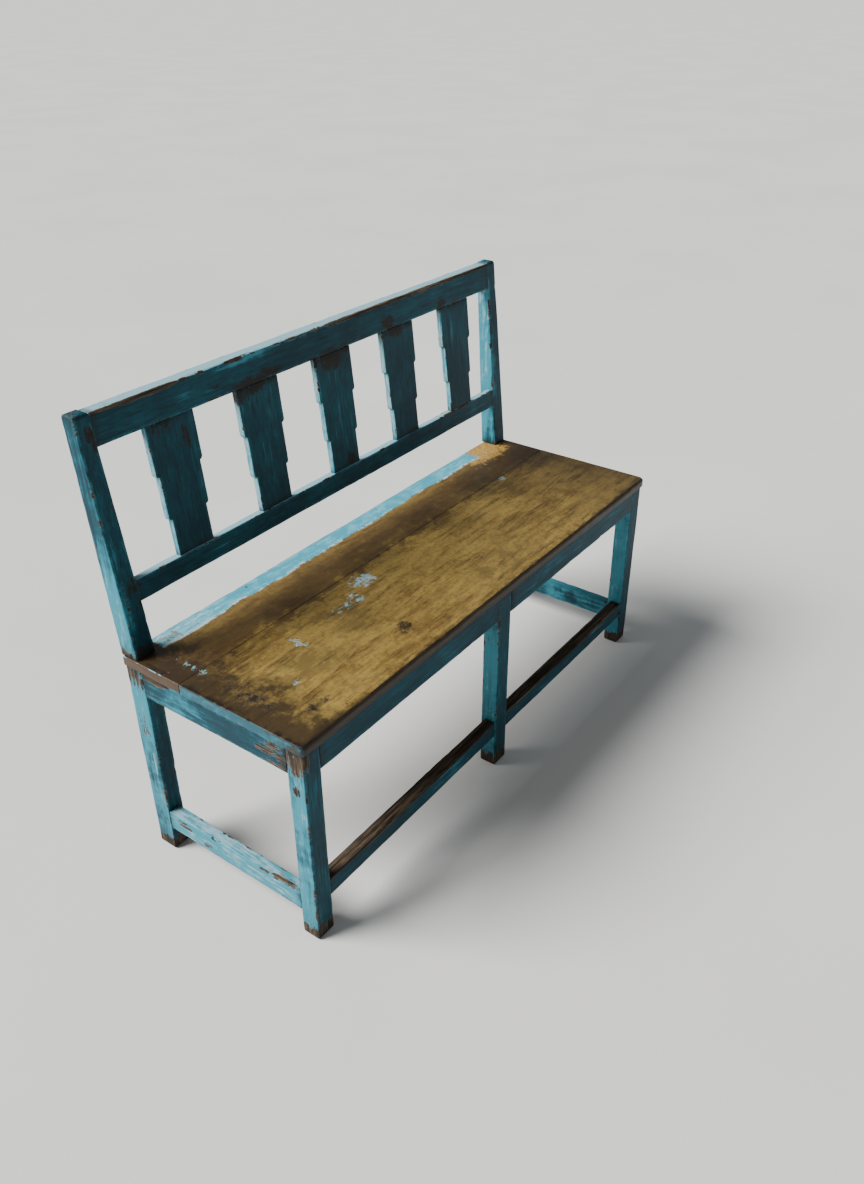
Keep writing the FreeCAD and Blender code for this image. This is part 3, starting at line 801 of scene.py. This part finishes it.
class Tree(Nodes):
    """Geometry nodes that put copies at several places, in one material."""

    def __init__(self, name, sockets):
        super().__init__(bpy.data.node_groups.new(name, "GeometryNodeTree"))
        interface = self.tree.interface
        interface.new_socket("Geometry", in_out="INPUT", socket_type="NodeSocketGeometry")
        material = interface.new_socket("Material", in_out="INPUT",
                                        socket_type="NodeSocketMaterial")
        self.identifiers = {"Material": material.identifier}
        for label, (kind, default) in sockets.items():
            socket = interface.new_socket(label, in_out="INPUT", socket_type=kind)
            socket.default_value = default
            self.identifiers[label] = socket.identifier
        interface.new_socket("Geometry", in_out="OUTPUT", socket_type="NodeSocketGeometry")
        source = self.node("NodeGroupInput")
        self.given = {output.name: Term(self, output) for output in source.outputs
                      if output.name}

    def finish(self, geometry):
        """Realize the copies and give them the material."""
        real = self.out("GeometryNodeRealizeInstances", {0: geometry})
        dressed = self.out("GeometryNodeSetMaterial",
                           {"Geometry": real, "Material": self.given["Material"]})
        self.node("NodeGroupOutput", {0: dressed})

    def bake(self, base, values):
        """Run the tree on a mesh and return the result as a plain mesh."""
        holder = bpy.data.objects.new(self.tree.name, base)
        bpy.context.collection.objects.link(holder)
        modifier = holder.modifiers.new(self.tree.name, "NODES")
        modifier.node_group = self.tree
        for label, value in values.items():
            modifier[self.identifiers[label]] = value
        depsgraph = bpy.context.evaluated_depsgraph_get()
        result = bpy.data.meshes.new_from_object(holder.evaluated_get(depsgraph))
        result.name = self.tree.name
        holder.modifiers.remove(modifier)
        bpy.data.objects.remove(holder)
        return result


def heads_tree(name, radius, rise, sides):
    """Slightly domed heads, one at each point, turned to the point's facing."""
    tree = Tree(name, {"Radius": ("NodeSocketFloat", radius),
                       "Rise": ("NodeSocketFloat", rise),
                       "Unevenness": ("NodeSocketFloat", 0.12),
                       "Seed": ("NodeSocketInt", 3)})
    given = tree.given
    ball = tree.out("GeometryNodeMeshUVSphere", {"Segments": sides, "Rings": 8,
                                                 "Radius": given["Radius"]})
    flat = tree.out("ShaderNodeCombineXYZ", {0: 1.0, 1: 1.0,
                                             2: given["Rise"] / given["Radius"]})
    head = tree.out("GeometryNodeTransform", {"Geometry": ball, "Scale": flat})
    facing = tree.out("GeometryNodeInputNamedAttribute", {"Name": "facing"},
                      data_type="FLOAT_VECTOR")
    turn = tree.out("FunctionNodeAlignRotationToVector", {"Vector": facing}, axis="Z")
    uneven = tree.node("FunctionNodeRandomValue", {"Min": 1.0 - given["Unevenness"],
                                                   "Max": given["Unevenness"] + 1.0,
                                                   "Seed": given["Seed"]},
                       data_type="FLOAT")
    scale = next(output for output in uneven.outputs if output.enabled)
    copies = tree.out("GeometryNodeInstanceOnPoints",
                      {"Points": given["Geometry"], "Instance": head, "Rotation": turn,
                       "Scale": Term(tree, scale)})
    tree.finish(copies)
    return tree


def row_tree(name):
    """Copies of one board along X, each with its own shift of the grain."""
    tree = Tree(name, {"Count": ("NodeSocketInt", 5),
                       "Start": ("NodeSocketVector", (0.0, 0.0, 0.0)),
                       "Pitch": ("NodeSocketVector", (0.2, 0.0, 0.0))})
    given = tree.given
    line = tree.out("GeometryNodeMeshLine", {"Count": given["Count"],
                                             "Start Location": given["Start"],
                                             "Offset": given["Pitch"]})
    copies = tree.out("GeometryNodeInstanceOnPoints", {"Points": line,
                                                       "Instance": given["Geometry"]})
    shift = tree.vector("MULTIPLY", tree.out("GeometryNodeInputIndex"), (0.73, 0.31, 0.17))
    marked = tree.out("GeometryNodeStoreNamedAttribute",
                      {"Geometry": copies, "Name": "copy", "Value": shift},
                      data_type="FLOAT_VECTOR", domain="INSTANCE")
    tree.finish(marked)
    return tree


def solid_islands(node):
    """Lowest and highest corners of each separate solid in a CAD node."""
    shell = bmesh.new()
    shell.from_mesh(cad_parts[node].data)
    bmesh.ops.remove_doubles(shell, verts=shell.verts, dist=1e-6)
    left, islands = set(shell.verts), []
    while left:
        waiting, island = [left.pop()], []
        while waiting:
            vertex = waiting.pop()
            island.append(vertex.co.copy())
            for edge in vertex.link_edges:
                other = edge.other_vert(vertex)
                if other in left:
                    left.remove(other)
                    waiting.append(other)
        corners = [extents(island, axis) for axis in (X, Y, Z)]
        islands.append([Vector(corner) for corner in zip(*corners)])
    shell.free()
    return sorted(islands, key=lambda island: tuple(round(value, 5) for value in island[0]))


def add_heads(node, heads, sink, material, slot, **shape):
    """Put a head at each place, sunk a little, where one CAD node has its fasteners."""
    points = bpy.data.meshes.new("places")
    points.from_pydata([place - facing * sink for place, facing in heads], [], [])
    store(points, "facing", "FLOAT_VECTOR", "vector",
          [part for _, facing in heads for part in facing])
    mesh = heads_tree("worn_" + node, **shape).bake(points, {"Material": material})
    add_piece("worn_" + node, mesh, material, [node])


# The paint of each group of pieces, and the patches at their places

def on_left(y, z, reach_y, reach_z, strength):
    """A patch on the faces at the bench's left end."""
    return (cad_low.x, y, z), (0.03, reach_y, reach_z), strength


def on_back(x, up, reach_x, reach_up, strength):
    """A patch on the front of the back, at a length up its slope."""
    centre = back_foot + UP_BACK * up
    return (x, centre.y, centre.z), (reach_x, 0.05, reach_up), strength


def rail_joint_stains():
    """Brown stains where the splats meet the top rail, and two on the lower rail."""
    joint = in_back("back_top_rail")[1][0]
    low_joint = in_back("back_lower_rail")[1][1]
    stains = [on_back(x, joint + up, *more) for x, up, *more in JOINT_STAINS]
    stains.append(on_back(0.020, low_joint + 0.012, 0.018, 0.018, 0.95))
    stains.append(on_back(0.225, low_joint, 0.026, 0.010, 0.7))
    return stains


def paint_recipe(kind):
    """Settings of paint_material for one group of pieces."""
    front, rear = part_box("front_leg_left")[0].y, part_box("rear_leg_left")[1].y
    stretcher_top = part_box("front_stretcher_left")[1].z
    side_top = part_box("side_stretcher_left")[1].z
    rail_top = cad_high.z - 0.002
    crown_y = post_head_y[0]
    # In each recipe, sides sets how strongly the upward and leftward faces are painted paler:
    # painted light.
    recipes = {
        "legs": dict(wear=0.40, chalk=0.35, pale=0.05, sides=1.7, foot=0.030,
                     bare=[on_left(front + 0.02, 0.412, 0.045, 0.040, 0.75),
                           on_left(front + 0.02, 0.345, 0.012, 0.014, 0.8),
                           on_left(rear - 0.02, 0.415, 0.045, 0.045, 0.65),
                           on_left(rear - 0.02, 0.300, 0.018, 0.045, 0.55)]),
        "aprons": dict(wear=0.30, chalk=0.15, pale=0.15, sides=0.7,
                       bare=[on_left(rear - 0.075, 0.425, 0.045, 0.014, 0.8),
                             on_left(front + 0.065, 0.400, 0.050, 0.035, 0.65)]),
        "stretchers": dict(wear=0.35, chalk=0.35, pale=0.45, sides=1.2,
                           bare=[((x, front + 0.015, stretcher_top), (0.40, 0.04, 0.008), 1.4)
                                 for x in (-0.26, 0.30)]
                           + [on_left(0.110, side_top - 0.012, 0.030, 0.014, 0.65),
                              on_left(0.045, side_top - 0.030, 0.020, 0.014, 0.6),
                              on_left(-0.150, side_top, 0.045, 0.008, 0.65)],
                           # Painted light: paler paint on the left end of the side stretchers,
                           # where light falls.
                           light=[((cad_low.x, 0.0, side_top), (0.10, 0.30, 0.06), 0.8)]),
        "posts": dict(wear=0.30, chalk=0.35, pale=0.10, sides=0.7,
                      bare=[on_left(rear, seat_top, 0.06, 0.024, 0.8),
                            on_left(rear + 0.045, 0.850, 0.012, 0.034, 0.75),
                            on_left(rear + 0.035, 0.795, 0.010, 0.008, 0.75)],
                      stains=[on_back(-0.555, 0.400, 0.02, 0.030, 0.75),
                              on_back(-0.555, 0.120, 0.03, 0.050, 0.60),
                              on_back(-0.560, 0.000, 0.05, 0.030, 0.9)],
                      # Painted light: paler paint on the left post's lower left face and on the
                      # right post's inner face.
                      light=[on_left(rear, 0.500, 0.06, 0.130, 0.9),
                             ((cad_high.x - 0.04, rear + 0.02, 0.700), (0.03, 0.06, 0.250),
                              1.0)]),
        "rails": dict(wear=0.45, chalk=0.30, pale=0.30, sides=2.6,
                      bare=[((0.26, crown_y, rail_top), (0.42, 0.007, 0.008), 1.1),
                            ((-0.45, crown_y, rail_top), (0.16, 0.007, 0.008), 0.9)],
                      stains=rail_joint_stains(),
                      # Painted highlight: a paler patch on the top rail's upper face, where
                      # light glints.
                      light=[((-0.12, crown_y + 0.02, rail_top), (0.26, 0.03, 0.02), 1.0)]),
        "splats": dict(wear=0.25, chalk=0.20, pale=0.20, sides=3.2, stains=rail_joint_stains()),
    }
    return recipes[kind]


# Operators: one for each piece or group of like pieces

class BenchOperator:
    bl_options = {"REGISTER", "UNDO"}

    def execute(self, context):
        self.make(context.scene)
        return {"FINISHED"}


def make_boards(scene, kind, boards, first_seed):
    """Make a group's boards, given as node and board, in its paint; return the objects."""
    material = paint_material("old paint, " + kind, scene.bench_paint, **paint_recipe(kind))
    pieces = []
    for seed, (node, board) in enumerate(boards, first_seed):
        mesh = worn_mesh(node, board, scene.bench_timber, seed)
        pieces.append(add_piece("worn_" + node, mesh, material, [node]))
    return pieces


class BENCH_OT_legs(BenchOperator, bpy.types.Operator):
    """Make the five legs, worn to bare wood at the feet."""

    bl_idname = "bench.legs"
    bl_label = "Legs"

    def make(self, scene):
        timber = scene.bench_timber
        nodes = ("front_leg_left", "front_leg_middle", "front_leg_right",
                 "rear_leg_left", "rear_leg_right")
        boards = [(node, box_board(*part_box(node), "z", square_rounding(timber),
                                   ends=(timber.foot_round, True))) for node in nodes]
        make_boards(scene, "legs", boards, 1)


def member(timber, node, along, start, stop):
    """A board between the faces of two legs, without the tenons hidden in them."""
    low, high = (corner.copy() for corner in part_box(node))
    index = "xyz".index(along)
    low[index], high[index] = start[1][index], stop[0][index]
    return node, box_board(low, high, along, square_rounding(timber))


def members(timber, front, side):
    """The two members of the front and the one at each end."""
    left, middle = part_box("front_leg_left"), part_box("front_leg_middle")
    right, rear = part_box("front_leg_right"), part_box("rear_leg_left")
    return [member(timber, front + "_left", "x", left, middle),
            member(timber, front + "_right", "x", middle, right),
            member(timber, side + "_left", "y", left, rear),
            member(timber, side + "_right", "y", left, rear)]


class BENCH_OT_aprons(BenchOperator, bpy.types.Operator):
    """Make the five aprons under the seat."""

    bl_idname = "bench.aprons"
    bl_label = "Aprons"

    def make(self, scene):
        timber = scene.bench_timber
        boards = members(timber, "front_apron", "end_apron")
        boards.append(member(timber, "rear_apron", "x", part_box("rear_leg_left"),
                             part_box("rear_leg_right")))
        make_boards(scene, "aprons", boards, 10)


class BENCH_OT_stretchers(BenchOperator, bpy.types.Operator):
    """Make the four low stretchers."""

    bl_idname = "bench.stretchers"
    bl_label = "Stretchers"

    def make(self, scene):
        boards = members(scene.bench_timber, "front_stretcher", "side_stretcher")
        make_boards(scene, "stretchers", boards, 20)


def along_post(foot, head, z):
    """A post's measure at a height above the seat, between its foot and its head."""
    return foot + (head - foot) * (z / (post_head_z - seat_top))


def post_board(timber, side):
    """A leaning post that tapers upwards, on the side of X that the sign tells."""
    def edges(z):
        sides = sorted((side * post_foot_x[0],
                        side * along_post(post_foot_x[1], post_head_x[1], z)))
        return (*sides, along_post(post_foot_y[0], post_head_y[0], z),
                along_post(post_foot_y[1], post_head_y[1], z))
    return Board(Z * seat_top, Z, X, Y, cad_high.z - seat_top, edges,
                 square_rounding(timber), ends=(True, timber.post_crown))


class BENCH_OT_posts(BenchOperator, bpy.types.Operator):
    """Make the two leaning back posts, which taper upwards."""

    bl_idname = "bench.posts"
    bl_label = "Back posts"

    def make(self, scene):
        timber = scene.bench_timber
        boards = [("back_post_left", post_board(timber, 1)),
                  ("back_post_right", post_board(timber, -1))]
        make_boards(scene, "posts", boards, 30)


def rail_board(timber, node, top_round):
    """A rail between the posts, square to the leaning back."""
    _, up, behind = in_back(node)
    if node == "back_top_rail":
        up = (up[0], up[1] - (behind[1] - behind[0]) * math.tan(lean))
    reach = -along_post(post_foot_x[1], post_head_x[1], up[1] * math.cos(lean))
    rounding = (timber.edge_round, top_round, top_round, timber.edge_round)
    return Board(back_foot - X * reach, X, UP_BACK, REARWARD, 2 * reach,
                 lambda t: (*up, *behind), rounding)


def plane_level(mesh, up, behind):
    """Raise the rear of the top rail's mesh, so that its top lies level."""
    for vertex in mesh.vertices:
        offset = vertex.co - back_foot
        part = (offset.dot(UP_BACK) - up[0]) / (up[1] - up[0])
        depth = offset.dot(REARWARD) - behind
        vertex.co += UP_BACK * (depth * math.tan(lean) * max(part, 0.0) ** 2)


class BENCH_OT_rails(BenchOperator, bpy.types.Operator):
    """Make the top rail and the lower rail of the back."""

    bl_idname = "bench.rails"
    bl_label = "Back rails"

    def make(self, scene):
        timber = scene.bench_timber
        top = rail_board(timber, "back_top_rail", timber.rail_round)
        lower = rail_board(timber, "back_lower_rail", timber.edge_round)
        boards = [("back_top_rail", top), ("back_lower_rail", lower)]
        top_rail, _ = make_boards(scene, "rails", boards, 40)
        bottom, crown, front, _ = top.edges(0.0)
        plane_level(top_rail.data, (bottom, crown), front)


def splat_steps(timber, height):
    """The two steps of a splat, each with its place and the radius of its quarter round."""
    halves = (timber.splat_foot / 2, timber.splat_middle / 2, timber.splat_top / 2)
    places = (height * timber.splat_lower, height * timber.splat_upper)
    return [(place, above - below) for place, below, above in zip(places, halves, halves[1:])]


def splat_half_width(timber, steps, t):
    half = timber.splat_foot / 2
    for place, radius in steps:
        risen = min(max(t - place, 0.0), radius)
        half += math.sqrt(radius ** 2 - (radius - risen) ** 2)
    return half


def splat_stations(timber, steps, height):
    """Even stations up a splat, with closer ones round each step."""
    count = round(height / timber.station_step)
    stations = {height * index / count for index in range(1, count)}
    for place, radius in steps:
        stations = {t for t in stations if not place - 0.004 < t < place + radius + 0.003}
        stations |= {place + radius * part for part in STEP_SHARES}
    return sorted(stations)


class BENCH_OT_splats(BenchOperator, bpy.types.Operator):
    """Make the row of splats, each in three tiers that narrow downwards."""

    bl_idname = "bench.splats"
    bl_label = "Splats"

    def make(self, scene):
        timber = scene.bench_timber
        nodes = ["back_splat_%d" % number for number in range(1, timber.splat_count + 1)]
        (first_x, _, behind), (last_x, _, _) = in_back(nodes[0]), in_back(nodes[-1])
        start, stop = sum(first_x) / 2, sum(last_x) / 2
        foot = in_back("back_lower_rail")[1][1]
        height = in_back("back_top_rail")[1][0] - foot
        steps = splat_steps(timber, height)

        def edges(t):
            half = splat_half_width(timber, steps, t)
            return (-half, half, *behind)

        board = Board(back_foot + UP_BACK * foot, UP_BACK, X, REARWARD, height, edges,
                      square_rounding(timber, 0.6),
                      stations=splat_stations(timber, steps, height))
        material = paint_material("old paint, splats", scene.bench_paint,
                                  **paint_recipe("splats"))
        pitch = (stop - start) / (timber.splat_count - 1)
        mesh = row_tree("back_splats").bake(
            worn_mesh("splat", board, timber, 50),
            {"Material": material, "Count": timber.splat_count,
             "Start": (start, 0.0, 0.0), "Pitch": (pitch, 0.0, 0.0)})
        add_piece("worn_back_splats", mesh, material, nodes)


def front_seat_board(timber, low, high):
    """The wide seat board, with its front corners rounded as seen from above."""
    corner = timber.seat_corner
    length = high.x - low.x

    def edges(t):
        from_end = min(t, length - t)
        cut = 0.0
        if from_end < corner:
            cut = corner - math.sqrt(corner ** 2 - (corner - max(from_end, 0.0)) ** 2)
        return (low.y + cut, high.y, low.z, high.z)

    at_ends = [corner * part for part in (0.05, 0.16, 0.34, 0.6, 1.0)]
    count = round((length - 2 * corner) / timber.station_step)
    middle = [corner + (length - 2 * corner) * index / count for index in range(1, count)]
    stations = at_ends + middle + [length - place for place in reversed(at_ends)]
    return Board(X * low.x, X, Y, Z, length, edges, (0.003, 0.001, 0.0012, timber.nosing),
                 ends=(0.0006, 0.0006), stations=stations)


class BENCH_OT_seat(BenchOperator, bpy.types.Operator):
    """Make the two seat boards."""

    bl_idname = "bench.seat"
    bl_label = "Seat boards"

    def make(self, scene):
        timber = scene.bench_timber
        front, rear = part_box("seat_board_front"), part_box("seat_board_rear")
        material = seat_material("rubbed seat wood", scene.bench_seat, front[0].y, rear[1].y)
        boards = (("seat_board_front", front_seat_board(timber, *front)),
                  ("seat_board_rear", box_board(*rear, "x", (0.001, 0.002, 0.003, 0.0012))))
        for seed, (node, board) in enumerate(boards, 60):
            add_piece("worn_" + node, worn_mesh(node, board, timber, seed), material,
                      [node])


def peg_head(node, low, high):
    """Where a peg's outer end lies, and the way it faces."""
    centre, span = (low + high) / 2, high - low
    if node == "back_pegs":
        return Vector((centre.x, low.y, centre.z - (centre.y - low.y) * lean)), -REARWARD
    axis, reach, side = (X, span.x, centre.x) if span.x > span.y else (Y, span.y, centre.y)
    facing = axis if side > 0 else -axis
    return centre + facing * reach / 2, facing


class BENCH_OT_pegs(BenchOperator, bpy.types.Operator):
    """Make the worn heads of the wooden pegs."""

    bl_idname = "bench.pegs"
    bl_label = "Pegs"

    def make(self, scene):
        paint = scene.bench_paint
        material = paint_material("peg ends", paint, wear=0.3, chalk=0.3, pale=0.4)
        for node in ("apron_pegs", "stretcher_pegs", "back_pegs"):
            heads = [peg_head(node, *corners) for corners in solid_islands(node)]
            add_heads(node, heads, 0.0010, material, SLOT_PEG,
                      radius=0.0036, rise=0.0007, sides=14)


class BENCH_OT_nails(BenchOperator, bpy.types.Operator):
    """Make the nail heads in the seat."""

    bl_idname = "bench.nails"
    bl_label = "Seat nails"

    def make(self, scene):
        heads = [(Vector(((low.x + high.x) / 2, (low.y + high.y) / 2, high.z)), Z)
                 for low, high in solid_islands("seat_nails")]
        add_heads("seat_nails", heads, 0.0006, iron_material("old nail iron"), SLOT_IRON,
                  radius=0.0033, rise=0.0009, sides=12)


class BENCH_OT_stage(BenchOperator, bpy.types.Operator):
    """Make the floor, the soft lights and the camera."""

    bl_idname = "bench.stage"
    bl_label = "Stage"

    def make(self, scene):
        stage = scene.bench_stage
        add_floor(scene, stage)
        key = bpy.data.lights.new("key", "SUN")
        key.energy, key.angle = stage.key_power, stage.key_softness
        aim_light(scene, key, KEY_PLACE)
        fill = bpy.data.lights.new("fill", "AREA")
        fill.energy, fill.size = stage.fill_power, 2.4
        aim_light(scene, fill, FILL_PLACE)
        add_sky(scene, stage)
        add_camera(scene, stage)


def add_floor(scene, stage):
    mesh = bpy.data.meshes.new("floor")
    corners = [(x * FLOOR_REACH, y * FLOOR_REACH, 0.0)
               for x, y in ((-1, -1), (1, -1), (1, 1), (-1, 1))]
    mesh.from_pydata(corners, [], [(0, 1, 2, 3)])
    mesh.materials.append(floor_material("pale floor", stage.floor))
    floor = bpy.data.objects.new("floor", mesh)
    scene.collection.objects.link(floor)


def add_sky(scene, stage):
    """Even light from all round. Past the floor the camera sees a pale tone instead."""
    world = bpy.data.worlds.new("studio")
    world.use_nodes = True
    sky = Nodes(world.node_tree)
    sky.tree.nodes.clear()
    light = sky.out("ShaderNodeBackground", {"Color": SKY_COLOUR, "Strength": stage.sky})
    backdrop = sky.out("ShaderNodeBackground", {"Color": stage.backdrop})
    seen = sky.out("ShaderNodeLightPath", output="Is Camera Ray")
    chosen = sky.out("ShaderNodeMixShader", {0: seen, 1: light, 2: backdrop})
    sky.node("ShaderNodeOutputWorld", {"Surface": chosen})
    scene.world = world


def aim_light(scene, light, place):
    """Put a light at a place and turn it to the middle of the bench."""
    lamp = bpy.data.objects.new(light.name, light)
    lamp.location = place
    lamp.rotation_mode = "QUATERNION"
    lamp.rotation_quaternion = (BENCH_MIDDLE - place).to_track_quat("-Z", "Y")
    scene.collection.objects.link(lamp)


def add_camera(scene, stage):
    """The camera stands where the photograph was taken from."""
    ahead = Vector((math.sin(stage.heading) * math.cos(stage.pitch),
                    math.cos(stage.heading) * math.cos(stage.pitch), math.sin(stage.pitch)))
    level_right = ahead.cross(Z).normalized()
    level_up = level_right.cross(ahead)
    right = level_right * math.cos(stage.roll) + level_up * math.sin(stage.roll)
    up = level_up * math.cos(stage.roll) - level_right * math.sin(stage.roll)
    data = bpy.data.cameras.new("camera")
    data.sensor_width = 36.0
    data.lens = stage.lens
    data.clip_start, data.clip_end = 0.05, 600.0
    camera = bpy.data.objects.new("camera", data)
    turn = Matrix((right, up, -ahead)).transposed().to_4x4()
    camera.matrix_world = Matrix.Translation(Vector(stage.place)) @ turn
    scene.collection.objects.link(camera)
    scene.camera = camera


class BENCH_PT_panel(bpy.types.Panel):
    """Buttons for the bench's pieces, in the order they are made."""

    bl_idname = "BENCH_PT_panel"
    bl_label = "Bench"
    bl_space_type = "VIEW_3D"
    bl_region_type = "UI"
    bl_category = "Bench"

    def draw(self, context):
        for operator in OPERATORS:
            self.layout.operator(operator.bl_idname)


OPERATORS = (BENCH_OT_legs, BENCH_OT_aprons, BENCH_OT_stretchers, BENCH_OT_posts,
             BENCH_OT_rails, BENCH_OT_splats, BENCH_OT_seat, BENCH_OT_pegs, BENCH_OT_nails,
             BENCH_OT_stage)
GROUPS = {"bench_timber": BENCH_PG_timber, "bench_paint": BENCH_PG_paint,
          "bench_seat": BENCH_PG_seat, "bench_stage": BENCH_PG_stage}


def register():
    for group in GROUPS.values():
        bpy.utils.register_class(group)
    for name, group in GROUPS.items():
        setattr(bpy.types.Scene, name, PointerProperty(type=group))
    for operator in OPERATORS:
        bpy.utils.register_class(operator)
    bpy.utils.register_class(BENCH_PT_panel)


def unregister():
    bpy.utils.unregister_class(BENCH_PT_panel)
    for operator in reversed(OPERATORS):
        bpy.utils.unregister_class(operator)
    for name, group in reversed(GROUPS.items()):
        delattr(bpy.types.Scene, name)
        bpy.utils.unregister_class(group)


def main():
    register()
    for operator in OPERATORS:
        family, name = operator.bl_idname.split(".")
        getattr(getattr(bpy.ops, family), name)()


if __name__ == "__main__":
    main()
